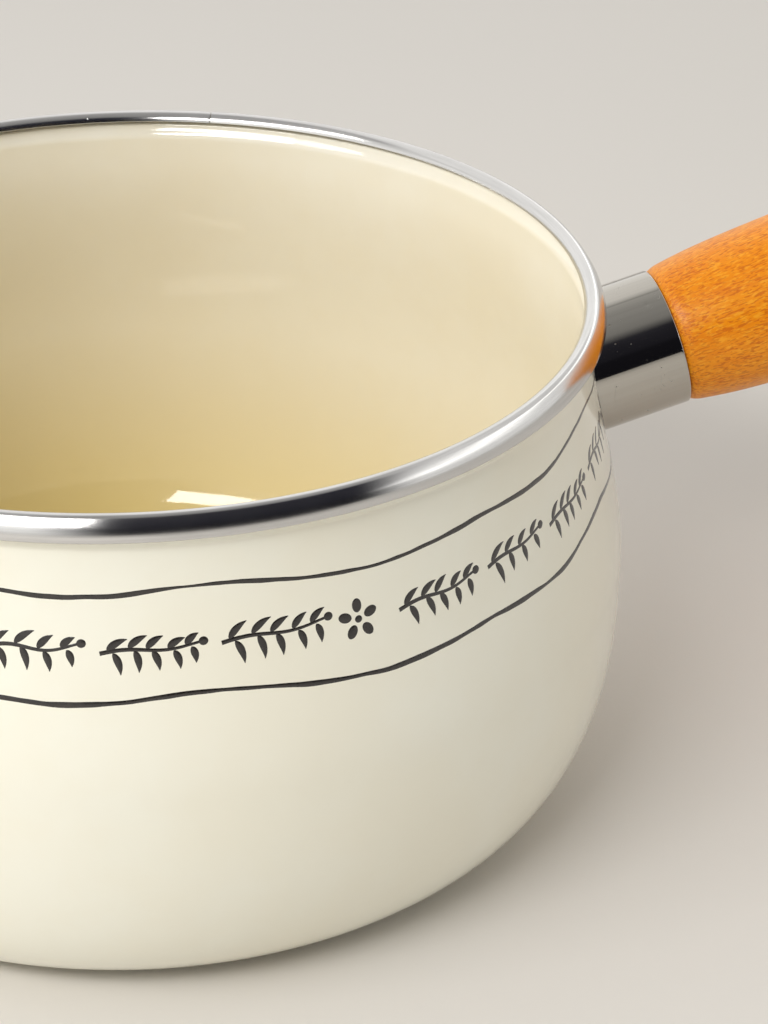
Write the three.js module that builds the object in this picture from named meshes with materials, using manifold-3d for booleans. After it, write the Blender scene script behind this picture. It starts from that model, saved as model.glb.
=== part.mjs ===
// A 16 cm enamelled-steel milk pan with a stainless rim band and a turned beech handle.
//
// Millimetres, +Z up. The origin is the centre of the base, on the surface the pan stands on.
// The handle points along +X and rises away from the pan. A steel bracket welded to the wall
// holds a nut, and a tie rod through the handle pulls the grip and its ferrule up to the wall.
// An eye nut on the tail of the rod holds the ring that the pan hangs by.

import * as THREE from 'three';
import { mergeVertices } from 'three/addons/utils/BufferGeometryUtils.js';
import Module from 'manifold-3d';

const wasm = await Module();
wasm.setup();

// Driving dimensions.

const ROUND_SIDES = 60; // sides of the pan's round pieces
const HANDLE_SIDES = 36; // sides of the handle's round pieces
const GAP = 0.3; // clearance between pieces that touch

const shellDims = {
  neckRadius: 80,
  neckBottom: 84, // below this height the wall starts to swell
  bellyRadius: 86,
  bellyHeight: 45,
  baseRadius: 58, // the flat that the pan stands on
  cornerPower: 2.55, // 2 would make the base corner an ellipse, more makes it squarer
  wall: 1.5,
  flare: 1.1, // the wall flares outwards by this much below the rim band,
  flareBottom: 86.9, // between these two heights
  flareTop: 88.6,
  mouth: 90.6, // top of the plain edge inside the rim band
};

const bandDims = {
  outerRadius: 82.05,
  bottom: 89.1, // lower edge of the outer skirt
  sheet: 0.4,
  // The strip's section, from the outer skirt over to the inner edge. Each bend is its length,
  // the upward tilt of its face at either end in degrees, and its number of facets.
  bends: [
    [1.3, 0, 14, 2],
    [1.3, 14, 31, 2],
    [1.2, 31, 37, 1],
    [0.93, 37, 90, 3],
    [2.7, 90, 176, 5],
  ],
  seamAngle: 67.5, // degrees from the handle, where the two ends of the strip meet
  seamWidth: 0.3,
};

const handleDims = {
  rootX: 82, // where the handle's axis starts, just inside the wall's outer face
  rootZ: 68.4,
  tilt: 14.1, // degrees above the horizontal
};

// Lengths along the handle are measured from its root.

const ferruleDims = { radius: 12.35, sheet: 0.6, mouth: 16.2, lip: 0.35 };
const bracketDims = { radius: 10.9, flange: 1.2, plateTop: 2.9, flangeTop: 6.7 };
const nutDims = { acrossFlats: 10, bottom: 3.2, height: 5 };
const rodDims = { radius: 3, bottom: 3.8 };
const gripDims = { front: 8.7, spigotRadius: 11.4, exposed: 112, tailFace: 8.3, tailEdge: 3.2 };
const washerDims = { radius: 7.8, thickness: 1.2 };
const springWasherDims = { radius: 5.3, thickness: 1.5, split: 0.8 };
const eyeDims = { hubRadius: 5.2, hubLength: 7.5, eyeRadius: 6.5, wire: 1.9, boreDepth: 6.2 };
const ringDims = { radius: 11, wire: 1.25, play: 0.5 };

// The grip's radius at distances past the ferrule's mouth.
const gripOutline = [
  [0, 11.6],
  [1.3, 12.35],
  [3.6, 12.85],
  [10.6, 13.7],
  [23, 14.5],
  [46, 15.4],
  [72, 14.9],
  [95, 13.2],
];

// Closed meshes and booleans.

function closed(geometry) {
  geometry.deleteAttribute('normal');
  geometry.deleteAttribute('uv');
  const merged = mergeVertices(geometry);
  const index = merged.index.array;
  const kept = [];
  for (let i = 0; i < index.length; i += 3) {
    const [a, b, c] = [index[i], index[i + 1], index[i + 2]];
    if (a !== b && b !== c && c !== a) {
      kept.push(a, b, c);
    }
  }
  merged.setIndex(kept);
  return merged;
}

function toManifold(geometry) {
  const mesh = new wasm.Mesh({
    numProp: 3,
    vertProperties: new Float32Array(geometry.attributes.position.array),
    triVerts: new Uint32Array(geometry.index.array),
  });
  return new wasm.Manifold(mesh);
}

function toGeometry(manifold) {
  const mesh = manifold.getMesh();
  const geometry = new THREE.BufferGeometry();
  geometry.setAttribute('position', new THREE.BufferAttribute(mesh.vertProperties, 3));
  geometry.setIndex(new THREE.BufferAttribute(mesh.triVerts, 1));
  return geometry;
}

function cut(geometry, ...cutters) {
  let solid = toManifold(geometry);
  for (const cutter of cutters) {
    solid = solid.subtract(toManifold(cutter));
  }
  return toGeometry(solid);
}

function join(first, second) {
  return toGeometry(toManifold(first).add(toManifold(second)));
}

// Turned shapes. A profile is a list of [radius, height], and runs anticlockwise with the
// radius to the right: out along the bottom, up the outside and back in along the top.

function turned(profile, sides) {
  const points = profile.map(([radius, height]) => new THREE.Vector2(radius, height));
  return closed(new THREE.LatheGeometry(points, sides).rotateX(Math.PI / 2));
}

function turnedRing(profile, sides) {
  return turned([...profile, profile[0]], sides);
}

// The same, about the handle's axis, with the height measured along +X.
function turnedAlongHandle(profile, closes = false) {
  const make = closes ? turnedRing : turned;
  return make(profile, HANDLE_SIDES).rotateY(Math.PI / 2);
}

function cylinder(radius, start, end) {
  return turnedAlongHandle([[0, start], [radius, start], [radius, end], [0, end]]);
}

function tube(innerRadius, outerRadius, start, end) {
  const profile = [
    [innerRadius, start],
    [outerRadius, start],
    [outerRadius, end],
    [innerRadius, end],
  ];
  return turnedAlongHandle(profile, true);
}

function arc(centreRadius, centreHeight, radius, startAngle, endAngle, steps) {
  const points = [];
  for (let i = 0; i <= steps; i += 1) {
    const angle = THREE.MathUtils.degToRad(startAngle + ((endAngle - startAngle) * i) / steps);
    const across = centreRadius + radius * Math.cos(angle);
    points.push([across, centreHeight + radius * Math.sin(angle)]);
  }
  return points;
}

// The pan's wall. offset grows the outline outwards; the wall's inside has a negative one.

function cornerOutline(offset, steps) {
  const { bellyRadius, bellyHeight, baseRadius, cornerPower } = shellDims;
  const width = bellyRadius - baseRadius + offset;
  const height = bellyHeight + offset;
  const points = [];
  for (let i = 0; i <= steps; i += 1) {
    const angle = (Math.PI / 2) * (1 - i / steps);
    const radius = baseRadius + width * Math.cos(angle) ** (2 / cornerPower);
    points.push([radius, bellyHeight - height * Math.sin(angle) ** (2 / cornerPower)]);
  }
  return points;
}

function wallRadius(height) {
  const { neckRadius, neckBottom, bellyRadius, bellyHeight } = shellDims;
  const { flare, flareBottom, flareTop } = shellDims;
  const rise = (height - bellyHeight) / (neckBottom - bellyHeight);
  const swell = (bellyRadius - neckRadius) * (1 - THREE.MathUtils.smoothstep(rise, 0, 1));
  return neckRadius + swell + flare * THREE.MathUtils.smoothstep(height, flareBottom, flareTop);
}

function wallOutline(offset, steps) {
  const { neckBottom, bellyHeight, flareBottom, flareTop, mouth } = shellDims;
  const points = cornerOutline(offset, steps);
  for (let i = 1; i <= steps; i += 1) {
    const height = bellyHeight + ((neckBottom - bellyHeight) * i) / steps;
    points.push([wallRadius(height) + offset, height]);
  }
  for (const height of [flareBottom, flareTop, mouth]) {
    points.push([wallRadius(height) + offset, height]);
  }
  return points;
}

function potShell() {
  const outside = wallOutline(0, 9);
  const inside = wallOutline(-shellDims.wall, 7).reverse();
  return turned([[0, 0], ...outside, ...inside, [0, shellDims.wall]], ROUND_SIDES);
}

// A solid block with the pan's outer shape and a gap all round, that cuts pieces to fit it.
function potBlock() {
  return turned([[0, -GAP], ...wallOutline(GAP, 14), [0, shellDims.mouth]], ROUND_SIDES);
}

// One face of the band's section, set in from its outer face by a distance.
function bandFace(inset) {
  let radius = bandDims.outerRadius;
  let height = bandDims.bottom;
  const points = [[radius - inset, height]];
  for (const [length, startTilt, endTilt, facets] of bandDims.bends) {
    for (let i = 0; i < facets; i += 1) {
      const middle = startTilt + ((endTilt - startTilt) * (i + 0.5)) / facets;
      const end = startTilt + ((endTilt - startTilt) * (i + 1)) / facets;
      radius -= (length / facets) * Math.sin(THREE.MathUtils.degToRad(middle));
      height += (length / facets) * Math.cos(THREE.MathUtils.degToRad(middle));
      const tilt = THREE.MathUtils.degToRad(end);
      points.push([radius - inset * Math.cos(tilt), height - inset * Math.sin(tilt)]);
    }
  }
  return points;
}

function rimBand() {
  const { outerRadius, bottom, sheet, seamWidth, seamAngle } = bandDims;
  const profile = [...bandFace(0), ...bandFace(sheet).reverse()];
  const seam = new THREE.BoxGeometry(8, seamWidth, 8);
  seam.translate(outerRadius - 2, 0, bottom + 2);
  seam.rotateZ(THREE.MathUtils.degToRad(seamAngle));
  return cut(turnedRing(profile, ROUND_SIDES), closed(seam));
}

// The handle's pieces, in the frame of its axis: the root is the origin and +X is the tail.

const handle = new THREE.Group();
handle.position.set(handleDims.rootX, 0, handleDims.rootZ);
handle.rotation.y = -THREE.MathUtils.degToRad(handleDims.tilt);
handle.updateMatrixWorld();

function fittedToPot(geometry) {
  const block = potBlock().applyMatrix4(handle.matrixWorld.clone().invert());
  return cut(geometry, block);
}

function ferrule() {
  const { radius, sheet, mouth, lip } = ferruleDims;
  const beforeWall = -8;
  const profile = [
    [radius - sheet, beforeWall],
    [radius, beforeWall],
    [radius, mouth - lip],
    [radius - lip, mouth],
    [radius - sheet, mouth],
  ];
  return fittedToPot(turnedAlongHandle(profile, true));
}

function handleBracket() {
  const { radius, flange, plateTop, flangeTop } = bracketDims;
  const beforeWall = -8;
  const profile = [
    [0, beforeWall],
    [radius, beforeWall],
    [radius, flangeTop],
    [radius - flange, flangeTop],
    [radius - flange, plateTop],
    [0, plateTop],
  ];
  return fittedToPot(turnedAlongHandle(profile));
}

function weldNut() {
  const { acrossFlats, bottom, height } = nutDims;
  const cornerRadius = acrossFlats / Math.sqrt(3);
  const hexagon = new THREE.CylinderGeometry(cornerRadius, cornerRadius, height, 6);
  hexagon.rotateZ(Math.PI / 2);
  hexagon.translate(bottom + height / 2, 0, 0);
  return cut(closed(hexagon), cylinder(rodDims.radius + GAP, bottom - 1, bottom + height + 1));
}

function gripTail() {
  return ferruleDims.mouth + gripDims.exposed;
}

function handleGrip() {
  const { front, spigotRadius, tailFace, tailEdge } = gripDims;
  const mouth = ferruleDims.mouth;
  const tail = gripTail();
  const boreRadius = rodDims.radius + GAP;
  const knots = gripOutline.map(([past, radius]) => new THREE.Vector2(radius, mouth + past));
  knots.push(new THREE.Vector2(tailFace + tailEdge, tail - tailEdge));
  const swell = new THREE.SplineCurve(knots).getPoints(20).map((point) => [point.x, point.y]);
  const profile = [
    [boreRadius, front],
    [spigotRadius, front],
    [spigotRadius, mouth],
    ...swell,
    ...arc(tailFace, tail - tailEdge, tailEdge, 0, 90, 4).slice(1),
    [boreRadius, tail],
  ];
  return turnedAlongHandle(profile, true);
}

// The stack of pieces on the tail: washer, spring washer, eye nut.

const washerStart = gripTail() + GAP;
const springWasherStart = washerStart + washerDims.thickness + GAP;
const hubStart = springWasherStart + springWasherDims.thickness + GAP;
const eyeCentre = hubStart + eyeDims.hubLength + eyeDims.eyeRadius - eyeDims.wire / 2;

function tieRod() {
  const end = hubStart + eyeDims.boreDepth - GAP;
  const chamfer = 0.6;
  const profile = [
    [0, rodDims.bottom],
    [rodDims.radius - chamfer, rodDims.bottom],
    [rodDims.radius, rodDims.bottom + chamfer],
    [rodDims.radius, end - chamfer],
    [rodDims.radius - chamfer, end],
    [0, end],
  ];
  return turnedAlongHandle(profile);
}

function tailWasher() {
  const { radius, thickness } = washerDims;
  return tube(rodDims.radius + GAP, radius, washerStart, washerStart + thickness);
}

function springWasher() {
  const { radius, thickness, split } = springWasherDims;
  const end = springWasherStart + thickness;
  const slot = new THREE.BoxGeometry(thickness + 2, split, radius + 2);
  slot.translate(springWasherStart + thickness / 2, 0, (radius + 2) / 2);
  return cut(tube(rodDims.radius + GAP, radius, springWasherStart, end), closed(slot));
}

function eyeNut() {
  const { hubRadius, hubLength, eyeRadius, wire, boreDepth } = eyeDims;
  const hub = cylinder(hubRadius, hubStart, hubStart + hubLength);
  const loop = closed(new THREE.TorusGeometry(eyeRadius, wire, 10, 28));
  loop.rotateX(Math.PI / 2);
  loop.translate(eyeCentre, 0, 0);
  const bore = cylinder(rodDims.radius + GAP, hubStart - 1, hubStart + boreDepth);
  return cut(join(hub, loop), bore);
}

// The ring hangs straight down from the bottom of the eye, so it stays out of the handle's
// turned frame. It swings about the middle of its own wire where that rests in the eye.

function ringPivot() {
  const pivot = new THREE.Vector3(eyeCentre, 0, 0).applyMatrix4(handle.matrixWorld);
  pivot.z -= eyeDims.eyeRadius - eyeDims.wire - ringDims.wire - ringDims.play;
  return pivot;
}

function hangingRing() {
  const ring = closed(new THREE.TorusGeometry(ringDims.radius, ringDims.wire, 10, 36));
  ring.rotateY(Math.PI / 2);
  ring.translate(0, 0, -ringDims.radius);
  return ring;
}

// Materials and the scene graph.

const finishes = {
  enamel: { color: 0xf2ecd9, roughness: 0.12, metalness: 0 },
  stainless: { color: 0xc9cbcc, roughness: 0.14, metalness: 1 },
  plated: { color: 0xb9b8b2, roughness: 0.35, metalness: 1 },
  beech: { color: 0xdf8a2c, roughness: 0.32, metalness: 0 },
};

function part(name, geometry, finish) {
  const mesh = new THREE.Mesh(geometry, new THREE.MeshStandardMaterial(finishes[finish]));
  mesh.name = name;
  return mesh;
}

const pan = new THREE.Group();
pan.add(part('pot_shell', potShell(), 'enamel'));
pan.add(part('rim_band', rimBand(), 'stainless'));

handle.add(part('handle_bracket', handleBracket(), 'enamel'));
handle.add(part('weld_nut', weldNut(), 'plated'));
handle.add(part('ferrule', ferrule(), 'stainless'));
handle.add(part('handle_grip', handleGrip(), 'beech'));
handle.add(part('tie_rod', tieRod(), 'plated'));
handle.add(part('tail_washer', tailWasher(), 'stainless'));
handle.add(part('spring_washer', springWasher(), 'plated'));
handle.add(part('eye_nut', eyeNut(), 'stainless'));
pan.add(handle);

const ring = part('hanging_ring', hangingRing(), 'stainless');
ring.position.copy(ringPivot());
pan.add(ring);

export default pan;
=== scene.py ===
"""Looks for an enamelled milk pan with a stainless rim band and a turned beech handle."""

import math
import random

import bmesh
import bpy
from mathutils import Matrix, Vector, noise


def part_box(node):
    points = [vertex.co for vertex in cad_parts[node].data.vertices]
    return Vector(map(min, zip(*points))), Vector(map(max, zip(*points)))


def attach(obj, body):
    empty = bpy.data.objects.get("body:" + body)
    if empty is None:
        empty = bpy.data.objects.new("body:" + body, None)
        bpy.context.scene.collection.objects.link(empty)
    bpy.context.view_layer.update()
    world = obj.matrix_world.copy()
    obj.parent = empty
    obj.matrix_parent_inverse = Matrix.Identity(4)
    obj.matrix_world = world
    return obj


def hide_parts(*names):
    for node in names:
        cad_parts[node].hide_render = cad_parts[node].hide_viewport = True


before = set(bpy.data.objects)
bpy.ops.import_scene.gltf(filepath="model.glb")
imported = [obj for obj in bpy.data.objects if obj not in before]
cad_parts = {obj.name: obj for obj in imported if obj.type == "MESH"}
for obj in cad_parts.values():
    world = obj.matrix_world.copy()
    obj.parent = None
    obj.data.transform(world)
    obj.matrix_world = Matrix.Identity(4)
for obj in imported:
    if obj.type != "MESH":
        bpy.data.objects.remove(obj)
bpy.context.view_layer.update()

MM = 0.001

# Sizes in millimetres. The pan's axis is +Z, and its handle rises along +X.

NECK_RADIUS = 80.0
NECK_BOTTOM = 84.0
BELLY_RADIUS = 86.0
BELLY_HEIGHT = 45.0
BASE_RADIUS = 58.0
CORNER_POWER = 2.55
WALL = 1.5
FLARE = 1.1  # the wall flares outwards by this much below the rim band
FLARE_BOTTOM = 86.9
FLARE_TOP = 88.6
MOUTH_HEIGHT = 90.6
INNER_FLARE_BOTTOM = FLARE_BOTTOM + 0.9  # the enamel rounds the flare off on the inside
INNER_FLARE_TOP = MOUTH_HEIGHT - 0.4
DENT_DEPTH = 0.06  # the wall's unevenness
DENT_WAVES = 2.2  # how finely it varies round the pan
DENT_HEIGHT = 34  # the height over which it varies up the wall

BAND_OUTER = 82.05
BAND_BOTTOM = 89.1
BAND_SHEET = 0.4
BAND_EDGE = 0.1  # the cut edges are eased by this much
BAND_EDGE_DROP = 0.12
BAND_BENDS = [
    (1.3, 0, 14),
    (1.3, 14, 31),
    (1.2, 31, 37),
    (0.93, 37, 90),
    (2.7, 90, 176),
]  # length of each part of the strip's section, and the tilt of its face at either end
SEAM_ANGLE = 67.5
SEAM_GAP = 0.2
SEAM_REACH = 2.2  # how far from the seam the ends are pressed out of line
SEAM_DROP = 0.1
SEAM_SQUEEZE = 0.05

HANDLE_ROOT = Vector((82.0, 0.0, 68.4))
HANDLE_TILT = 14.1
FERRULE_RADIUS = 12.35
FERRULE_SHEET = 0.6
FERRULE_MOUTH = 16.2
FERRULE_LIP = 0.3
FERRULE_GAP = 0.12  # between the ferrule's scribed end and the wall
STAKE_ANGLE = 209
STAKE_PLACE = FERRULE_MOUTH - 3.4
STAKE_DEPTH = 0.09
STAKE_WIDTH = 0.3

GRIP_FRONT = 8.7
GRIP_SPIGOT = 11.4
GRIP_TAIL = FERRULE_MOUTH + 112.0
GRIP_TAIL_FACE = 8.3
GRIP_TAIL_EDGE = 3.2
BORE_RADIUS = 3.3
GRIP_OUTLINE = [
    (0.0, 11.6),
    (1.3, 12.35),
    (3.6, 12.85),
    (10.6, 13.7),
    (23.0, 14.5),
    (46.0, 15.4),
    (72.0, 14.9),
    (95.0, 13.2),
]

GAP = 0.3
WASHER_START = GRIP_TAIL + GAP
WASHER_RADIUS = 7.8
WASHER_THICKNESS = 1.2
SPRING_START = WASHER_START + WASHER_THICKNESS + GAP
SPRING_RADIUS = 5.3
SPRING_THICKNESS = 1.5
HUB_START = SPRING_START + SPRING_THICKNESS + GAP
HUB_RADIUS = 5.2
HUB_LENGTH = 7.5
HUB_BORE_DEPTH = 6.2
HUB_NOSE = 1.6
EYE_RADIUS = 6.45
EYE_WIRE = 1.85
EYE_SINK = 0.9  # how deep the middle of the eye's wire sits in the hub
EYE_CENTRE = HUB_START + HUB_LENGTH + EYE_RADIUS - EYE_SINK
RING_EASE = 0.03  # how much smaller than the CAD's ring this one is
RING_RADIUS = 11.0 - RING_EASE
RING_WIRE = 1.25 - RING_EASE
WELD_DEPTH = 0.09
WELD_WIDTH = 0.22
WELD_REACH = 3

PRINT_UPPER = 78.7  # heights of the two border lines
PRINT_LOWER = 61.55
PRINT_MIDDLE = 70.5
PRINT_PHASE = -75.0  # where one of the rosettes is
PRINT_REPEATS = 6
PRINT_SPRIGS = (15.6, 14.4, 15.4, 16.8)  # the sprigs' lengths between two rosettes
PRINT_SPACE = 3.4
ROSETTE_SPACE = 7.4  # from a rosette's middle to the first sprig
ROSETTE_DROP = 0.8
LINE_HALF = 0.36  # half the width of a border line, and of a stem at its start
LEAF_PITCH = 3.4
LEAF_LENGTH = 4.0
LEAF_HALF = 0.6

HANDLE_FRAME = (
    Matrix.Translation(HANDLE_ROOT * MM)
    @ Matrix.Rotation(-math.radians(HANDLE_TILT), 4, "Y")
    @ Matrix.Rotation(math.radians(90), 4, "Y")
)  # the local +Z runs out along the handle


# Mesh helpers


def new_object(name, bm, material, smooth_angle=40.0, place=None):
    """A smooth-shaded object from a bmesh in millimetres."""
    bmesh.ops.scale(bm, vec=(MM, MM, MM), verts=bm.verts)
    bmesh.ops.recalc_face_normals(bm, faces=bm.faces)
    mesh = bpy.data.meshes.new(name)
    bm.to_mesh(mesh)
    bm.free()
    mesh.shade_smooth()
    mesh.set_sharp_from_angle(angle=math.radians(smooth_angle))
    mesh.materials.append(material)
    made = bpy.data.objects.new(name, mesh)
    bpy.context.scene.collection.objects.link(made)
    if place is not None:
        made.matrix_world = place
    return made


def stands_for(piece, body, slot, *nodes):
    """The piece rides on a body and replaces its CAD nodes. slot is not used."""
    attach(piece, body)
    if nodes:
        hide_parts(*nodes)
    return piece


def polar(radius, angle, height):
    return (radius * math.cos(angle), radius * math.sin(angle), height)


def spread(first, last, steps):
    """Evenly spaced values from the first to the last."""
    return [first + (last - first) * i / steps for i in range(steps + 1)]


def bridge(bm, rows, closed):
    """Quads between rings of vertices, with one vertex standing for a whole ring at a pole.
    closed also joins the last ring to the first."""
    count = len(rows)
    last = count if closed else count - 1
    for i in range(last):
        first, second = rows[i], rows[(i + 1) % count]
        size = max(len(first), len(second))
        for j in range(size):
            k = (j + 1) % size
            corners = [
                first[j % len(first)],
                first[k % len(first)],
                second[k % len(second)],
                second[j % len(second)],
            ]
            unique = list(dict.fromkeys(corners))
            if len(unique) > 2:
                bm.faces.new(unique)


def bridge_and_cap(bm, rows):
    """An open run of rings, with a face over either end."""
    bridge(bm, rows, False)
    bm.faces.new(rows[0])
    bm.faces.new(rows[-1])


def turned(profile, sides, closed=False, shape=None):
    """A solid of revolution about +Z. The profile is a list of (radius, height).
    shape, if given, takes a point's radius, height and angle, and returns its new radius."""
    bm = bmesh.new()
    rows = []
    for radius, height in profile:
        if radius < 1e-6:
            rows.append([bm.verts.new((0, 0, height))])
            continue
        row = []
        for i in range(sides):
            angle = 2 * math.pi * i / sides
            r = shape(radius, height, angle) if shape else radius
            row.append(bm.verts.new(polar(r, angle, height)))
        rows.append(row)
    bridge(bm, rows, closed)
    return bm


def arc(centre_r, centre_h, radius_r, radius_h, start, end, steps):
    """Points on an ellipse's arc, from one angle in degrees to another."""
    points = []
    for i in range(steps + 1):
        angle = math.radians(start + (end - start) * i / steps)
        across = centre_r + radius_r * math.cos(angle)
        points.append((across, centre_h + radius_h * math.sin(angle)))
    return points


def smoothstep(low, high, value):
    """Rises smoothly from 0 to 1 between low and high."""
    t = min(max((value - low) / (high - low), 0.0), 1.0)
    return t * t * (3 - 2 * t)


def spline(knots, steps):
    """A Catmull-Rom curve through the knots."""
    points = []
    for i in range(len(knots) - 1):
        p0 = Vector(knots[max(i - 1, 0)])
        p1 = Vector(knots[i])
        p2 = Vector(knots[i + 1])
        p3 = Vector(knots[min(i + 2, len(knots) - 1)])
        for j in range(steps):
            t = j / steps
            v0 = (p2 - p0) * 0.5
            v1 = (p3 - p1) * 0.5
            bend = (2 * p1 - 2 * p2 + v0 + v1) * t**3
            rise = (-3 * p1 + 3 * p2 - 2 * v0 - v1) * t**2
            points.append(tuple(bend + rise + v0 * t + p1))
    points.append(tuple(knots[-1]))
    return points


# Material helpers


def feed(tree, socket, value):
    """Links another node's output to the socket, or sets the socket's own value."""
    if isinstance(value, bpy.types.NodeSocket):
        tree.links.new(value, socket)
    else:
        socket.default_value = value


def add_node(tree, kind, inputs, **settings):
    made = tree.nodes.new("ShaderNode" + kind)
    for key, value in settings.items():
        setattr(made, key, value)
    for key, value in inputs.items():
        feed(tree, made.inputs[key], value)
    return made


def mix_colours(tree, factor, first, second):
    """The first colour where the factor is 0, and the second where it is 1."""
    inputs = {0: factor, 6: first, 7: second}  # sockets 6 and 7 are the node's two colours
    return add_node(tree, "Mix", inputs, data_type="RGBA").outputs[2]


class Nodes:
    """A short way to write a node material."""

    def __init__(self, name):
        self.material = bpy.data.materials.new(name)
        self.material.use_nodes = True
        self.tree = self.material.node_tree
        self.shader = self.tree.nodes["Principled BSDF"]
        self.coords = self.tree.nodes.new("ShaderNodeTexCoord").outputs["Object"]

    def node(self, kind, inputs, **settings):
        return add_node(self.tree, kind, inputs, **settings)

    def set(self, **values):
        """Sets or links the shader's inputs, named with _ for a space."""
        for key, value in values.items():
            feed(self.tree, self.shader.inputs[key.replace("_", " ")], value)

    def stretched(self, scale, rotation=(0, 0, 0)):
        """Object coordinates, in cycles per metre along each axis."""
        inputs = {"Vector": self.coords, "Scale": scale, "Rotation": rotation}
        return self.node("Mapping", inputs).outputs["Vector"]

    def noise(self, scale, detail=3.0, rough=0.5, distortion=0.0, rotation=(0, 0, 0)):
        inputs = {
            "Vector": self.stretched(scale, rotation),
            "Scale": 1.0,
            "Detail": detail,
            "Roughness": rough,
            "Distortion": distortion,
        }
        return self.node("TexNoise", inputs).outputs["Fac"]

    def cells(self, scale):
        """The distance to the nearest of scattered points, in cells."""
        inputs = {"Vector": self.stretched(scale), "Scale": 1.0}
        return self.node("TexVoronoi", inputs).outputs["Distance"]

    def ramp(self, value, low, high, to_low=0.0, to_high=1.0):
        """Goes smoothly from to_low to to_high as the value goes from low to high."""
        inputs = {
            "Value": value,
            "From Min": low,
            "From Max": high,
            "To Min": to_low,
            "To Max": to_high,
        }
        made = self.node("MapRange", inputs, interpolation_type="SMOOTHSTEP")
        return made.outputs["Result"]

    def mix(self, factor, first, second):
        return mix_colours(self.tree, factor, first, second)

    def math(self, operation, first, second):
        return self.node("Math", {0: first, 1: second}, operation=operation).outputs[0]

    def bump(self, height, distance, strength=1.0, normal=None):
        inputs = {"Height": height, "Distance": distance, "Strength": strength}
        if normal is not None:
            inputs["Normal"] = normal
        return self.node("Bump", inputs).outputs["Normal"]


def rgb(red, green, blue):
    """A linear colour from display values out of 255."""

    def linear(value):
        share = value / 255
        return share / 12.92 if share <= 0.04045 else ((share + 0.055) / 1.055) ** 2.4

    return (linear(red), linear(green), linear(blue), 1.0)


# Materials


def enamel_material(name, base, warm, speck_colour, painted_shade=None):
    """Glassy enamel with a faint mottle, a few specks and the soft ripple of a fired surface.
    The last argument is painted shade: a darker mustard colour low down and away from the handle,
    where the inside of the pan lies in shade."""
    n = Nodes(name)
    cloud = n.noise((26, 26, 26), detail=4)
    mottle = n.noise((160, 160, 160), detail=3)
    colour = n.mix(n.ramp(cloud, 0.35, 0.65), base, warm)
    colour = n.mix(n.ramp(mottle, 0.4, 0.75, 0, 0.3), colour, warm)
    # Painted shade: low down and away from the handle the colour turns a darker mustard, for the
    # shade and the cream walls' inter-reflection inside the pan.
    if painted_shade:
        place = n.node("SeparateXYZ", {"Vector": n.coords}).outputs
        height = n.math("ADD", place["Z"], n.math("MULTIPLY", place["X"], 0.16))
        wander = n.math("MULTIPLY", n.math("SUBTRACT", cloud, 0.5), 0.012)
        height = n.math("ADD", height, wander)
        colour = n.mix(n.ramp(height, -0.01, 0.07, 1.0, 0.0), colour, painted_shade)
    speck = n.ramp(n.cells((150, 150, 150)), 0.02, 0.035, 1.0, 0.0)
    chance = n.ramp(n.noise((60, 60, 60)), 0.66, 0.68)
    speck = n.math("MULTIPLY", speck, chance)
    colour = n.mix(n.math("MULTIPLY", speck, 0.3), colour, speck_colour)
    ripple = n.noise((70, 70, 70), detail=1)
    peel = n.noise((420, 420, 420), detail=2)
    normal = n.bump(peel, 0.000006, normal=n.bump(ripple, 0.00006))
    n.set(Base_Color=colour, Roughness=n.ramp(mottle, 0.3, 0.7, 0.04, 0.08), Normal=normal)
    n.set(IOR=1.5)
    return n.material


def steel_material(name, tint, roughness, grain, bump_depth, spread=0.0):
    """Polished steel. grain is the brushing's cycles per metre along each axis, and spread
    is how far rolling round the Z axis smears its reflections."""
    n = Nodes(name)
    brushing = n.noise(grain, detail=4, rough=0.7)
    smudge = n.noise((55, 55, 55), detail=3)
    fine = n.noise((900, 900, 900), detail=2)
    shade = n.mix(n.ramp(brushing, 0.3, 0.7, 0, 0.35), tint, rgb(176, 175, 172))
    rough = n.math("ADD", n.ramp(smudge, 0.35, 0.7, 0, 0.05), roughness)
    rough = n.math("ADD", rough, n.ramp(brushing, 0.3, 0.8, -0.01, 0.03))
    tick = n.ramp(n.cells((700, 520, 700)), 0.07, 0.13, 1.0, 0.0)
    tick = n.math("MULTIPLY", tick, n.ramp(fine, 0.62, 0.68))
    rough = n.math("ADD", rough, n.math("MULTIPLY", tick, 0.2))
    normal = n.bump(brushing, bump_depth)
    normal = n.bump(tick, -0.00002, normal=normal)
    n.set(Base_Color=shade, Metallic=1.0, Roughness=rough, Normal=normal)
    if spread:
        round_z = n.node("Tangent", {}, direction_type="RADIAL", axis="Z").outputs["Tangent"]
        n.set(Anisotropic=spread, Anisotropic_Rotation=0.25, Tangent=round_z)
    return n.material


def scratch_lines(n, scale, rotation, low, high):
    """Thin lines where a stretched noise crosses its middle value."""
    field = n.noise(scale, detail=1, rotation=rotation)
    offset = n.math("SUBTRACT", field, 0.5)
    away = n.node("Math", {0: offset}, operation="ABSOLUTE").outputs[0]
    return n.ramp(away, low, high, 1.0, 0.0)


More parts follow.
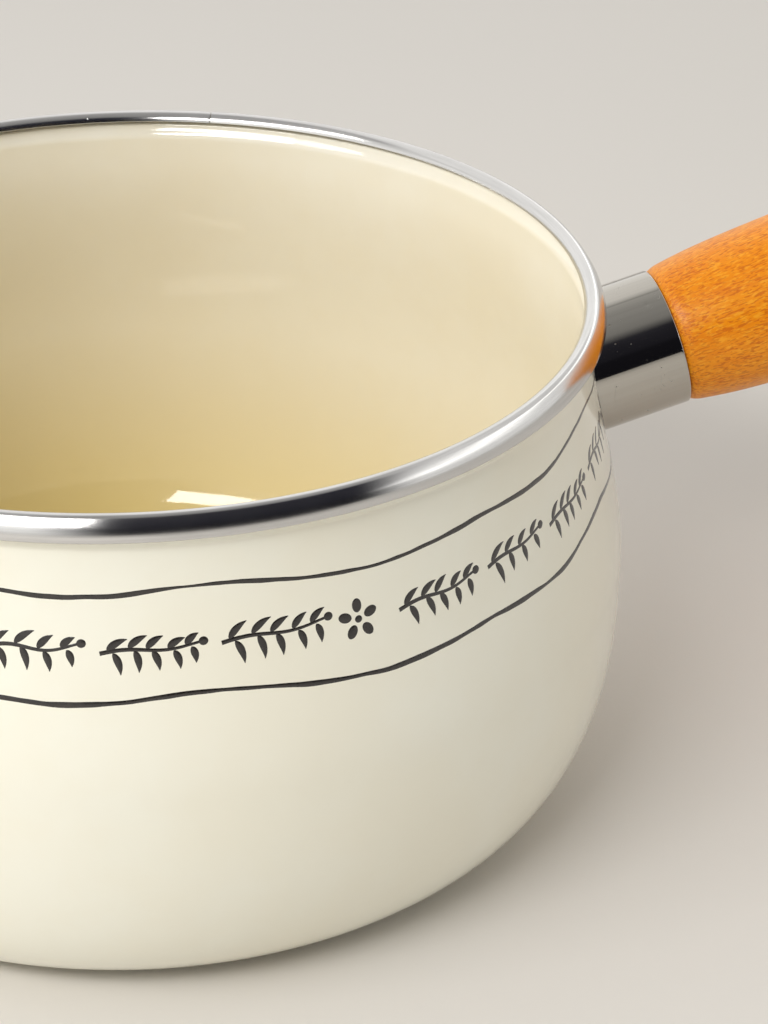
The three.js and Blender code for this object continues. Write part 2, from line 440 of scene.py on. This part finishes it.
def ferrule_material():
    """Mirror-polished tube with faint drawing lines along it, and small nicks."""
    n = Nodes("ferrule_steel")
    drawing = n.noise((1100, 1100, 10), detail=2, rough=0.5)
    cloud = n.noise((90, 90, 60), detail=3)
    rough = n.ramp(cloud, 0.35, 0.7, 0.06, 0.13)
    hair = scratch_lines(n, (150, 150, 420), (0.5, 0.3, 0.0), 0.0, 0.007)
    patch = n.ramp(n.noise((260, 260, 260)), 0.58, 0.66)
    hair = n.math("MULTIPLY", hair, patch)
    nick = n.ramp(n.cells((900, 900, 620)), 0.1, 0.19, 1.0, 0.0)
    nick = n.math("MULTIPLY", nick, n.ramp(n.noise((300, 300, 300)), 0.54, 0.6))
    marks = n.math("MAXIMUM", hair, nick)
    rough = n.math("ADD", rough, n.math("MULTIPLY", marks, 0.5))
    colour = n.mix(n.ramp(drawing, 0.35, 0.7, 0, 0.3), rgb(183, 179, 171), rgb(170, 165, 157))
    normal = n.bump(drawing, 0.0000012)
    normal = n.bump(marks, -0.00001, normal=normal)
    n.set(Base_Color=colour, Metallic=1.0, Roughness=rough, Normal=normal)
    return n.material


def beech_material():
    """Turned beech under an orange varnish: soft streaks, and short dark flecks along the grain.
    The local +Z is the handle's axis."""
    n = Nodes("varnished_beech")
    lean = (0.04, -0.05, 0.0)
    broad = n.noise((70, 70, 8), detail=3, distortion=0.4, rotation=lean)
    streak = n.noise((520, 520, 26), detail=3, rough=0.6, rotation=lean)
    colour = n.mix(n.ramp(broad, 0.3, 0.7), rgb(234, 136, 6), rgb(241, 150, 14))
    colour = n.mix(n.ramp(streak, 0.4, 0.75, 0, 0.5), colour, rgb(222, 116, 3))
    pale = n.ramp(n.noise((2300, 2300, 620), detail=2, rotation=lean), 0.48, 0.66, 0, 0.6)
    colour = n.mix(pale, colour, rgb(248, 172, 44))
    flecks = n.noise((3300, 3300, 760), detail=1.5, rough=0.5, rotation=lean)
    fleck = n.ramp(flecks, 0.52, 0.64)
    long_flecks = n.noise((2300, 2300, 360), detail=1, rotation=lean)
    fleck = n.math("MAXIMUM", fleck, n.ramp(long_flecks, 0.6, 0.69))
    patch = n.ramp(n.noise((130, 130, 50), detail=2), 0.3, 0.62, 0.55, 1.0)
    fleck = n.math("MULTIPLY", fleck, patch)
    colour = n.mix(n.math("MULTIPLY", fleck, 0.62), colour, rgb(190, 84, 2))
    normal = n.bump(n.math("SUBTRACT", streak, fleck), 0.00002, strength=0.8)
    n.set(Base_Color=colour, Roughness=n.ramp(streak, 0.3, 0.7, 0.33, 0.42), Normal=normal)
    n.set(Specular_IOR_Level=0.32)
    return n.material


def ink_material():
    """Fired black print: slightly uneven, a little less glossy than the enamel."""
    n = Nodes("black_print")
    cover = n.noise((900, 900, 900), detail=3)
    wear = n.noise((140, 140, 140), detail=2)
    colour = n.mix(n.ramp(cover, 0.35, 0.7), rgb(26, 22, 20), rgb(40, 35, 32))
    colour = n.mix(n.ramp(wear, 0.55, 0.8, 0, 0.35), colour, rgb(62, 55, 50))
    n.set(Base_Color=colour, Roughness=n.ramp(cover, 0.3, 0.7, 0.22, 0.34))
    n.set(Normal=n.bump(cover, 0.00001), Coat_Weight=0.6, Coat_Roughness=0.08)
    return n.material


enamel = enamel_material(
    "cream_enamel", rgb(243, 241, 226), rgb(241, 237, 219), rgb(150, 138, 110)
)
# The inside's enamel: the same cream, with painted shade low down and away from the handle.
enamel_inside = enamel_material(
    "cream_enamel_inside",
    rgb(244, 240, 226),
    rgb(241, 235, 217),
    rgb(150, 130, 90),
    painted_shade=rgb(220, 197, 122),
)
band_steel = steel_material(
    "band_steel", rgb(212, 211, 210), 0.15, (30, 30, 1500), 0.000001, spread=0.75
)
ferrule_steel = ferrule_material()
wire_steel = steel_material(
    "wire_steel", rgb(214, 213, 210), 0.14, (300, 300, 300), 0.000006
)
plated_steel = steel_material(
    "plated_steel", rgb(196, 194, 186), 0.3, (700, 700, 700), 0.00001
)
beech = beech_material()
ink = ink_material()


# The pan


def plain_radius(height):
    """The wall's outer radius above the base corner, without the flare."""
    swell = (BELLY_RADIUS - NECK_RADIUS) * (1 - smoothstep(BELLY_HEIGHT, NECK_BOTTOM, height))
    return NECK_RADIUS + swell


def wall_radius(height):
    """The wall's outer radius above the base corner."""
    flare = min(max((height - FLARE_BOTTOM) / (FLARE_TOP - FLARE_BOTTOM), 0.0), 1.0)
    return plain_radius(height) + FLARE * flare


def inner_radius(height):
    """The wall's inner radius above the base corner."""
    flare = smoothstep(INNER_FLARE_BOTTOM, INNER_FLARE_TOP, height)
    return plain_radius(height) + FLARE * flare - WALL


def corner(offset, steps):
    """The rounded base corner, from the flat up to the belly."""
    width = BELLY_RADIUS - BASE_RADIUS + offset
    depth = BELLY_HEIGHT + offset
    points = []
    for i in range(steps + 1):
        angle = math.pi / 2 * (1 - i / steps)
        across = math.cos(angle) ** (2 / CORNER_POWER) if i else 0.0
        down = math.sin(angle) ** (2 / CORNER_POWER)
        points.append((BASE_RADIUS + width * across, BELLY_HEIGHT - depth * down))
    return points


def shell_profile():
    """Out under the base, up the outside, over the mouth and down the inside."""
    lip = WALL / 2
    heights = spread(BELLY_HEIGHT, MOUTH_HEIGHT - lip, 110)[1:]
    outside = corner(0, 40) + [(wall_radius(h), h) for h in heights]
    mouth = arc(wall_radius(MOUTH_HEIGHT) - lip, MOUTH_HEIGHT - lip, lip, lip, 0, 180, 10)[1:-1]
    inside = [(inner_radius(h), h) for h in reversed(heights)]
    inside += list(reversed(corner(-WALL, 40)))
    underside = [(radius, 0.0) for radius in spread(0.0, BASE_RADIUS, 12)[:-1]]
    floor = [(radius, WALL) for radius in spread(BASE_RADIUS, 0.0, 12)[1:]]
    return underside + outside + mouth + inside + floor


def settle_shell(radius, height, angle):
    """The radius with the small unevenness of drawn and fired steel, always inwards. It fades
    out towards the base and under the rim band."""
    place = Vector(polar(DENT_WAVES, angle, height / DENT_HEIGHT))
    dent = DENT_DEPTH * (noise.noise(place) - 1) * smoothstep(2, 20, height)
    return radius + dent * (1 - smoothstep(80, 88, height))


def make_shell():
    """The enamelled pan. Faces that look inwards or up from within it get the inside's material,
    which has painted shade low down.
    """
    bm = turned(shell_profile(), 240, shape=settle_shell)
    shell = new_object("enamel_shell", bm, enamel, smooth_angle=60)
    shell.data.materials.append(enamel_inside)
    for face in shell.data.polygons:
        centre = face.center / MM
        inside = wall_radius(max(centre.z, BELLY_HEIGHT)) - WALL / 2
        facing = Vector((-centre.x, -centre.y, 40)).dot(face.normal)
        if centre.z > WALL / 2 and centre.xy.length < inside and facing > 0:
            face.material_index = 1
    return stands_for(shell, "pan", "cream_enamel", "pot_shell")


def band_face(inset):
    """Points along the strip's section, from the outer skirt over to the inner edge."""
    radius, height = BAND_OUTER, BAND_BOTTOM
    points = []
    for length, start, end in BAND_BENDS:
        steps = 12
        for i in range(steps):
            tilt = math.radians(start + (end - start) * (i + 0.5) / steps)
            points.append((radius - inset * math.cos(tilt), height - inset * math.sin(tilt)))
            radius -= length / steps * math.sin(tilt)
            height += length / steps * math.cos(tilt)
    return points


def band_profile():
    """The strip's closed section, with its two edges eased."""
    outer = band_face(0.0)
    inner = band_face(BAND_SHEET)
    first = inner[0]
    last = inner[-1]
    eased_start = [
        (first[0] + BAND_EDGE, first[1] - BAND_EDGE),
        (outer[0][0] - BAND_EDGE, outer[0][1] - BAND_EDGE),
    ]
    eased_end = [
        (outer[-1][0] + BAND_EDGE, outer[-1][1] - BAND_EDGE_DROP),
        (last[0] - BAND_EDGE, last[1] - BAND_EDGE_DROP),
    ]
    return eased_start + outer + eased_end + list(reversed(inner))


def make_band():
    """One strip bent into a ring, with its ends butted a little out of line."""
    profile = band_profile()
    sides = 360
    half_gap = SEAM_GAP / 2 / BAND_OUTER
    start = math.radians(SEAM_ANGLE) + half_gap
    sweep = 2 * math.pi - 2 * half_gap
    bm = bmesh.new()
    rows = []
    for i in range(sides + 1):
        share = i / sides
        angle = start + sweep * share
        end = max(0.0, 1 - min(share, 1 - share) * sweep * BAND_OUTER / SEAM_REACH)
        drop = SEAM_DROP * end**2 if share < 0.5 else 0.0
        squeeze = SEAM_SQUEEZE * end**2
        row = []
        for radius, height in profile:
            r = radius - squeeze * (1 if radius > NECK_RADIUS else -1)
            row.append(bm.verts.new(polar(r, angle, height - drop)))
        rows.append(row)
    bridge_and_cap(bm, rows)
    band = new_object("rim_strip", bm, band_steel, smooth_angle=50)
    return stands_for(band, "pan", "stainless_steel", "rim_band")


# The print. Its strokes are thin ribbons that lie on the wall: a stroke is a list of points
# (angle round the pan in radians, height, half width).


def line_wave(angle):
    """The hand-drawn lines' shared rise and fall."""
    waves = [(5, 0.89, -2.33), (12, 0.63, 1.43), (16, 0.16, -2.72), (37, 0.05, 0.7)]
    return sum(size * math.sin(count * angle + phase) for count, size, phase in waves)


# The ribbon's section: (share of its half width, height above the wall).
RIBBON_SECTION = [
    (-1, -0.08),
    (-1, 0.0),
    (-0.6, 0.035),
    (0, 0.045),
    (0.6, 0.035),
    (1, 0.0),
    (1, -0.08),
]


def ribbon(bm, stroke, closed=False):
    """One closed solid that follows a stroke, a hair proud of the wall and domed."""
    rows = []
    count = len(stroke)
    for i, (angle, height, half) in enumerate(stroke):
        before = stroke[i - 1] if closed or i > 0 else stroke[i]
        after = stroke[(i + 1) % count] if closed or i < count - 1 else stroke[i]
        turn = (after[0] - before[0] + math.pi) % (2 * math.pi) - math.pi
        radius = wall_radius(height)
        along = Vector((turn * radius, after[1] - before[1]))
        across = Vector((-along.y, along.x)).normalized() * half
        row = []
        for side, proud in RIBBON_SECTION:
            at_height = height + across.y * side
            at_angle = angle + across.x * side / radius
            r = settle_shell(wall_radius(at_height), at_height, at_angle) + proud
            row.append(bm.verts.new(polar(r, at_angle, at_height)))
        rows.append(row)
    if closed:
        bridge(bm, rows, True)
    else:
        bridge_and_cap(bm, rows)


def border_stroke(height, seed):
    """A line round the whole pan, of slightly uneven width and height."""
    steps = 900
    stroke = []
    for i in range(steps):
        angle = 2 * math.pi * i / steps
        point = Vector(polar(9, angle, seed))
        swell = noise.noise(point) * 0.16 + noise.noise(point * 3.1) * 0.06
        jitter = noise.noise(point * 2.3 + Vector((5, 1, 2))) * 0.1
        stroke.append((angle, height + line_wave(angle) + jitter, LINE_HALF + swell))
    return stroke


def make_border(name, height, seed):
    bm = bmesh.new()
    ribbon(bm, border_stroke(height, seed), closed=True)
    border = new_object(name, bm, ink, smooth_angle=60)
    return stands_for(border, "pan", None)


def disc_stroke(angle, height, across, tall, lean=0.0, steps=12):
    """A filled oval, as a ribbon whose width swells and shrinks."""
    radius = wall_radius(height)
    stroke = []
    for i in range(steps + 1):
        t = -math.cos(math.pi * i / steps)
        half = max(tall * math.sqrt(max(1 - t * t, 0.0)), 0.02)
        reach = across * t
        at_angle = angle + reach * math.cos(lean) / radius
        stroke.append((at_angle, height + reach * math.sin(lean), half))
    return stroke


def leaf_stroke(angle, height, length, width, lean, steps=14):
    """A leaf from its stalk to its tip: widest two fifths of the way along."""
    radius = wall_radius(height)
    stroke = []
    for i in range(steps + 1):
        t = i / steps
        curl = lean - 0.35 * t
        half = max(width * math.sin(math.pi * t**0.75) ** 0.8, 0.05)
        reach = length * t
        at_angle = angle + reach * math.cos(curl) / radius
        stroke.append((at_angle, height + reach * math.sin(curl), half))
    return stroke


def sprig(bm, start, length, rng):
    """A leafy sprig that takes the place of one word: a wavy stem, leaves in pairs, a berry."""
    radius = wall_radius(PRINT_MIDDLE)
    stem = []
    steps = 28
    sway = rng.uniform(0.3, 0.6)
    for i in range(steps + 1):
        t = i / steps
        height = PRINT_MIDDLE - 0.9 + sway * math.sin(2.2 * math.pi * t) + 0.9 * t
        half = LINE_HALF - 0.14 * t
        stem.append((start + length * t / radius, height + line_wave(start) * 0.5, half))
    ribbon(bm, stem)
    leaves = max(3, round(length / LEAF_PITCH))
    for k in range(leaves):
        t = (k + 0.35) / leaves
        at = stem[round(t * steps)]
        size = LEAF_LENGTH * (1 - 0.3 * t) * rng.uniform(0.9, 1.1)
        for side in (1, -1):
            lean = side * rng.uniform(0.85, 1.1)
            shift = 0.9 / radius if side < 0 else 0.0
            leaf = leaf_stroke(at[0] + shift, at[1] + side * 0.2, size, LEAF_HALF, lean)
            ribbon(bm, leaf)
    tip = stem[-1]
    ribbon(bm, disc_stroke(tip[0] + 0.6 / radius, tip[1] + 0.1, 0.75, 0.7))


def rosette(bm, angle, rng):
    """Five round petals about a dot."""
    radius = wall_radius(PRINT_MIDDLE)
    middle = PRINT_MIDDLE - ROSETTE_DROP
    petals = 5
    for k in range(petals):
        turn = 2 * math.pi * k / petals + 0.35
        reach = 2.35 * rng.uniform(0.94, 1.06)
        at_angle = angle + reach * math.cos(turn) / radius
        ribbon(bm, disc_stroke(at_angle, middle + reach * math.sin(turn), 1.15, 0.82, turn))
    ribbon(bm, disc_stroke(angle, middle, 0.62, 0.6))


def make_print():
    """Rosettes spaced evenly round the pan, with sprigs between them."""
    rng = random.Random(7)
    sprigs = bmesh.new()
    rosettes = bmesh.new()
    radius = wall_radius(PRINT_MIDDLE)
    for repeat in range(PRINT_REPEATS):
        centre = math.radians(PRINT_PHASE + 360 / PRINT_REPEATS * repeat)
        rosette(rosettes, centre, rng)
        at = centre + ROSETTE_SPACE / radius
        for length in PRINT_SPRIGS:
            sprig(sprigs, at, length, rng)
            at += (length + PRINT_SPACE) / radius
    for name, bm in (("print_sprigs", sprigs), ("print_rosettes", rosettes)):
        stands_for(new_object(name, bm, ink, smooth_angle=60), "pan", None)


# The handle


def wall_distance(radius, angle, gap):
    """How far along the handle a line parallel to its axis leaves the pan's wall."""
    low, high = -10.0, 12.0
    for _ in range(40):
        middle = (low + high) / 2
        local = Vector(polar(radius, angle, middle))
        point = HANDLE_FRAME @ (local * MM) / MM
        if math.hypot(point.x, point.y) < wall_radius(point.z) + gap:
            low = middle
        else:
            high = middle
    return high


def staked(radius, angle, along):
    """Presses the staking punch's dimple into the ferrule."""
    away = math.hypot((angle - math.radians(STAKE_ANGLE)) * radius, along - STAKE_PLACE)
    return radius - STAKE_DEPTH * math.exp(-((away / STAKE_WIDTH) ** 2))


def make_ferrule():
    """A thin tube scribed to the wall, its mouth eased inwards to grip the wood."""
    sides = 300
    steps = 64
    inner = FERRULE_RADIUS - FERRULE_SHEET
    lip_start = FERRULE_MOUTH - FERRULE_LIP
    lip = arc(FERRULE_RADIUS - FERRULE_LIP, lip_start, FERRULE_LIP, FERRULE_LIP, 0, 180, 8)
    bm = bmesh.new()
    rows = []
    for i in range(sides):
        angle = 2 * math.pi * i / sides
        start = wall_distance(FERRULE_RADIUS, angle, FERRULE_GAP)
        outside = spread(start, lip_start, steps)
        points = [(staked(FERRULE_RADIUS, angle, along), along) for along in outside]
        points += lip[1:] + [(inner, FERRULE_MOUTH - 1.5), (inner, start + 0.2)]
        rows.append([bm.verts.new(polar(radius, angle, along)) for radius, along in points])
    bridge(bm, rows, True)
    made = new_object("ferrule_tube", bm, ferrule_steel, 50, HANDLE_FRAME)
    return stands_for(made, "pan", "stainless_steel", "ferrule")


def make_grip():
    """The turned wood: its spigot inside the ferrule, its outline and its rounded tail."""
    knots = [(radius, FERRULE_MOUTH + past) for past, radius in GRIP_OUTLINE]
    edge_start = GRIP_TAIL - GRIP_TAIL_EDGE
    knots.append((GRIP_TAIL_FACE + GRIP_TAIL_EDGE, edge_start))
    profile = [
        (BORE_RADIUS, GRIP_FRONT),
        (GRIP_SPIGOT - 0.4, GRIP_FRONT),
        (GRIP_SPIGOT, GRIP_FRONT + 0.4),
        (GRIP_SPIGOT, FERRULE_MOUTH - 0.1),
        *spline(knots, 12),
        *arc(GRIP_TAIL_FACE, edge_start, GRIP_TAIL_EDGE, GRIP_TAIL_EDGE, 0, 90, 12)[1:],
        (BORE_RADIUS + 0.3, GRIP_TAIL),
        (BORE_RADIUS, GRIP_TAIL - 0.3),
    ]
    grip = new_object("beech_grip", turned(profile, 160, True), beech, 50, HANDLE_FRAME)
    return stands_for(grip, "pan", "varnished_beech", "handle_grip")


def make_washer():
    edge = 0.25
    end = WASHER_START + WASHER_THICKNESS
    profile = [
        (BORE_RADIUS, WASHER_START),
        *arc(WASHER_RADIUS - edge, WASHER_START + edge, edge, edge, 270, 360, 5),
        *arc(WASHER_RADIUS - edge, end - edge, edge, edge, 0, 90, 5),
        (BORE_RADIUS, end),
    ]
    washer = new_object("tail_washer_disc", turned(profile, 96, True), wire_steel, 40, HANDLE_FRAME)
    return stands_for(washer, "pan", "stainless_steel", "tail_washer")


def make_spring_washer():
    """A split ring of flat wire, its ends a little apart along the axis."""
    steps = 96
    split = 0.16
    edge = 0.15
    bm = bmesh.new()
    rows = []
    for i in range(steps + 1):
        share = i / steps
        angle = split / 2 + (2 * math.pi - split) * share + math.pi
        slip = 0.12 * (share - 0.5)
        low = SPRING_START + 0.1 + slip
        high = low + SPRING_THICKNESS - 0.2
        section = [
            (BORE_RADIUS, low + edge),
            (BORE_RADIUS + edge, low),
            (SPRING_RADIUS - edge, low),
            (SPRING_RADIUS, low + edge),
            (SPRING_RADIUS, high - edge),
            (SPRING_RADIUS - edge, high),
            (BORE_RADIUS + edge, high),
            (BORE_RADIUS, high - edge),
        ]
        rows.append([bm.verts.new(polar(radius, angle, along)) for radius, along in section])
    bridge_and_cap(bm, rows)
    made = new_object("split_spring_washer", bm, plated_steel, 30, HANDLE_FRAME)
    return stands_for(made, "pan", "plated_steel", "spring_washer")


def torus(bm, radius, wire, steps, sides, place):
    """A round wire of radius wire, bent to a circle and moved by place."""
    rows = []
    for i in range(steps):
        angle = 2 * math.pi * i / steps
        row = []
        for j in range(sides):
            around = 2 * math.pi * j / sides
            out = radius + wire * math.cos(around)
            point = Vector(polar(out, angle, wire * math.sin(around)))
            row.append(bm.verts.new(place @ point))
        rows.append(row)
    bridge(bm, rows, True)


def make_eye_nut():
    """A turned hub with a forged eye, joined into one closed mesh."""
    end = HUB_START + HUB_LENGTH
    edge = 0.5
    profile = [
        (0, HUB_START + HUB_BORE_DEPTH),
        (BORE_RADIUS, HUB_START + HUB_BORE_DEPTH - 1.2),
        (BORE_RADIUS, HUB_START + 0.3),
        (BORE_RADIUS + 0.3, HUB_START),
        *arc(HUB_RADIUS - edge, HUB_START + edge, edge, edge, 270, 360, 6),
        *arc(HUB_RADIUS - HUB_NOSE, end - HUB_NOSE, HUB_NOSE, HUB_NOSE, 0, 90, 10),
        (0, end),
    ]
    hub = new_object("eye_nut_forged", turned(profile, 96), wire_steel, 50, HANDLE_FRAME)
    loop_mesh = bmesh.new()
    upright = Matrix.Translation((0, 0, EYE_CENTRE)) @ Matrix.Rotation(math.radians(90), 4, "X")
    torus(loop_mesh, EYE_RADIUS, EYE_WIRE, 96, 32, upright)
    loop = new_object("eye_loop", loop_mesh, wire_steel, 60, HANDLE_FRAME)
    join = hub.modifiers.new("join", "BOOLEAN")
    join.operation = "UNION"
    join.solver = "EXACT"
    join.object = loop
    bpy.context.view_layer.update()
    depsgraph = bpy.context.evaluated_depsgraph_get()
    joined = bpy.data.meshes.new_from_object(hub.evaluated_get(depsgraph))
    hub.modifiers.clear()
    hub.data = joined
    joined.shade_smooth()
    joined.set_sharp_from_angle(angle=math.radians(35))
    bpy.data.objects.remove(loop)
    return stands_for(hub, "pan", "stainless_steel", "eye_nut")


def make_ring():
    """The hanging ring: round wire bent to a circle, with its weld at its lowest point."""
    low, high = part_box("hanging_ring")
    centre = (low + high) / 2 / MM
    bm = bmesh.new()
    place = Matrix.Translation(centre) @ Matrix.Rotation(math.radians(90), 4, "Y")
    torus(bm, RING_RADIUS, RING_WIRE, 128, 28, place)
    weld = centre - Vector((0, 0, RING_RADIUS))
    for vertex in bm.verts:
        if (vertex.co - weld).length < WELD_REACH:
            wire_centre = (vertex.co - centre).normalized() * RING_RADIUS + centre
            outward = (vertex.co - wire_centre).normalized()
            off_weld = (vertex.co.y - weld.y) / WELD_WIDTH
            vertex.co -= outward * WELD_DEPTH * math.exp(-(off_weld**2))
    ring = new_object("wire_ring", bm, wire_steel, 60)
    return stands_for(ring, "ring", "stainless_steel", "hanging_ring")


def finish_hidden_nodes():
    """The pieces inside the ferrule and the grip keep their CAD shapes."""
    hidden = {"handle_bracket": enamel, "weld_nut": plated_steel, "tie_rod": plated_steel}
    for name, material in hidden.items():
        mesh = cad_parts[name].data
        mesh.materials.clear()
        mesh.materials.append(material)


# Stage: floor, world, lights, camera. Places are in metres, and angles in degrees.

CAMERA_PLACE = Vector((-0.0918, -0.5349, 0.3458))
CAMERA_TURN = -14.4  # from looking along +Y, about +Z
CAMERA_PITCH = 28.7  # down from level
CAMERA_LENS = 123.05
DARK_SIDE = 32.0  # to the right of the camera, where the room is darkest
FLOOR_HALF = 5000  # in millimetres, like the object's own sizes
PANEL_AIM = Vector((0.0, 0.0, 0.06))
PANEL_TINT = (1.0, 0.99, 0.975)


def floor_material():
    """Matt pale paper with a faint unevenness."""
    n = Nodes("pale_paper")
    cloud = n.noise((2.2, 2.2, 2.2), detail=2)
    grain = n.noise((900, 900, 900), detail=2)
    colour = n.mix(n.ramp(cloud, 0.3, 0.7), rgb(221, 217, 211), rgb(224, 220, 214))
    n.set(Base_Color=colour, Roughness=0.8, Specular_IOR_Level=0.2)
    n.set(Normal=n.bump(grain, 0.00002))
    return n.material


def make_floor():
    bm = bmesh.new()
    corners = [(-1, -1), (1, -1), (1, 1), (-1, 1)]
    bm.faces.new([bm.verts.new((x * FLOOR_HALF, y * FLOOR_HALF, 0)) for x, y in corners])
    floor = new_object("pale_floor", bm, floor_material())


# The room's brightness along the arc from the horizon on the dark side, over the top, to the
# horizon opposite: (degrees up the arc, brightness). A boom crosses it at 112 degrees.
ROOM_ARC = [
    (0, 0.01),
    (22, 0.012),
    (27, 0.02),
    (50, 0.03),
    (64, 0.34),
    (100, 0.47),
    (110.5, 0.6),
    (112, 0.36),
    (113.5, 0.63),
    (122, 1.08),
    (180, 1.22),
]

DIM_LEVEL = 0.1  # what is dimmer than this is bluer than the rest
DIM_BLUE = 1.35
ROOM_BLUE = 0.97

# The walls beside that arc. The left one is paler low down. The right one has a bright strip
# about 21 degrees up: (sine of the elevation, brightness).
LEFT_LOW = (1.15, 1.14, 1.12, 1)
LEFT_HIGH = (0.9, 0.89, 0.87, 1)
RIGHT_WALL = [(0, 1.0), (0.29, 0.95), (0.33, 2.5), (0.39, 2.5), (0.44, 0.75), (1, 1.05)]

# Where the walls take over from the arc, and where the left one changes: from none of it at the
# first value to all of it at the second.
RIGHT_FADE = (0.4, 0.65)
LEFT_FADE = (-0.52, -0.8)
LEFT_CHANGE = (0.3, 0.5)


def brightness_ramp(tree, value, levels):
    """A nearly neutral colour whose brightness follows a list of (value, brightness)."""
    ramp = add_node(tree, "ValToRGB", {0: value})
    stops = ramp.color_ramp.elements
    while len(stops) < len(levels):
        stops.new(1.0)
    for stop, (position, level) in zip(stops, levels):
        stop.position = position
        blue = DIM_BLUE if level < DIM_LEVEL else ROOM_BLUE
        stop.color = (level, level * 0.99, level * blue, 1)
    return ramp.outputs["Color"]


def make_world():
    """A pale room, dark on the camera's side as far as halfway up."""
    world = bpy.data.worlds.new("pale_room")
    bpy.context.scene.world = world
    world.use_nodes = True
    tree = world.node_tree
    direction = add_node(tree, "TexCoord", {}).outputs["Generated"]

    def along(axis):
        inputs = {0: direction, 1: axis}
        return add_node(tree, "VectorMath", inputs, operation="DOT_PRODUCT").outputs["Value"]

    def fade(value, limits):
        inputs = {"Value": value, "From Min": limits[0], "From Max": limits[1]}
        made = add_node(tree, "MapRange", inputs, interpolation_type="SMOOTHSTEP")
        return made.outputs["Result"]

    turn = math.radians(CAMERA_TURN + DARK_SIDE)
    ahead = along((math.sin(turn), -math.cos(turn), 0))
    across = along((math.cos(turn), math.sin(turn), 0))
    height = add_node(tree, "SeparateXYZ", {0: direction}).outputs["Z"]
    up_arc = add_node(tree, "Math", {0: height, 1: ahead}, operation="ARCTAN2").outputs[0]
    share = add_node(tree, "Math", {0: up_arc, 1: math.pi}, operation="DIVIDE").outputs[0]
    arc_levels = [(degrees / 180, level) for degrees, level in ROOM_ARC]
    colour = brightness_ramp(tree, share, arc_levels)
    right_wall = brightness_ramp(tree, height, RIGHT_WALL)
    left_wall = mix_colours(tree, fade(height, LEFT_CHANGE), LEFT_LOW, LEFT_HIGH)
    colour = mix_colours(tree, fade(across, RIGHT_FADE), colour, right_wall)
    colour = mix_colours(tree, fade(across, LEFT_FADE), colour, left_wall)
    feed(tree, tree.nodes["Background"].inputs["Color"], colour)


def make_panel(name, left, elevation, distance, size, radiance):
    """A soft panel that faces the pan. left is its direction in degrees to the left of the
    camera's, and its distance and size are in metres."""
    turn = math.radians(CAMERA_TURN - left)
    lift = math.radians(elevation)
    flat = Vector((math.sin(turn), -math.cos(turn), 0)) * math.cos(lift)
    toward = flat + Vector((0, 0, math.sin(lift)))
    lamp = bpy.data.lights.new(name, "AREA")
    lamp.shape = "RECTANGLE"
    lamp.size, lamp.size_y = size
    lamp.energy = radiance * math.pi * size[0] * size[1]
    lamp.color = PANEL_TINT
    made = bpy.data.objects.new(name, lamp)
    bpy.context.scene.collection.objects.link(made)
    made.location = toward * distance + PANEL_AIM
    made.rotation_mode = "QUATERNION"
    made.rotation_quaternion = toward.to_track_quat("Z", "Y")


def make_lights():
    make_panel("side_panel", 58, 40, 1.3, (0.36, 0.24), 7.8)
    make_panel("front_panel", 27, 40.8, 1.1, (0.6, 0.21), 15.8)


def make_camera():
    data = bpy.data.cameras.new("photo_camera")
    data.lens = CAMERA_LENS
    data.sensor_width = 36
    data.clip_start = 0.01
    camera = bpy.data.objects.new("photo_camera", data)
    bpy.context.scene.collection.objects.link(camera)
    camera.location = CAMERA_PLACE
    camera.rotation_euler = (math.radians(90 - CAMERA_PITCH), 0, math.radians(CAMERA_TURN))
    bpy.context.scene.camera = camera


make_shell()
make_band()
make_border("print_border_upper", PRINT_UPPER, 1.7)
make_border("print_border_lower", PRINT_LOWER, 6.2)
make_print()
make_ferrule()
make_grip()
make_washer()
make_spring_washer()
make_eye_nut()
make_ring()
finish_hidden_nodes()
make_floor()
make_world()
make_lights()
make_camera()
bpy.context.scene.view_settings.view_transform = "Standard"
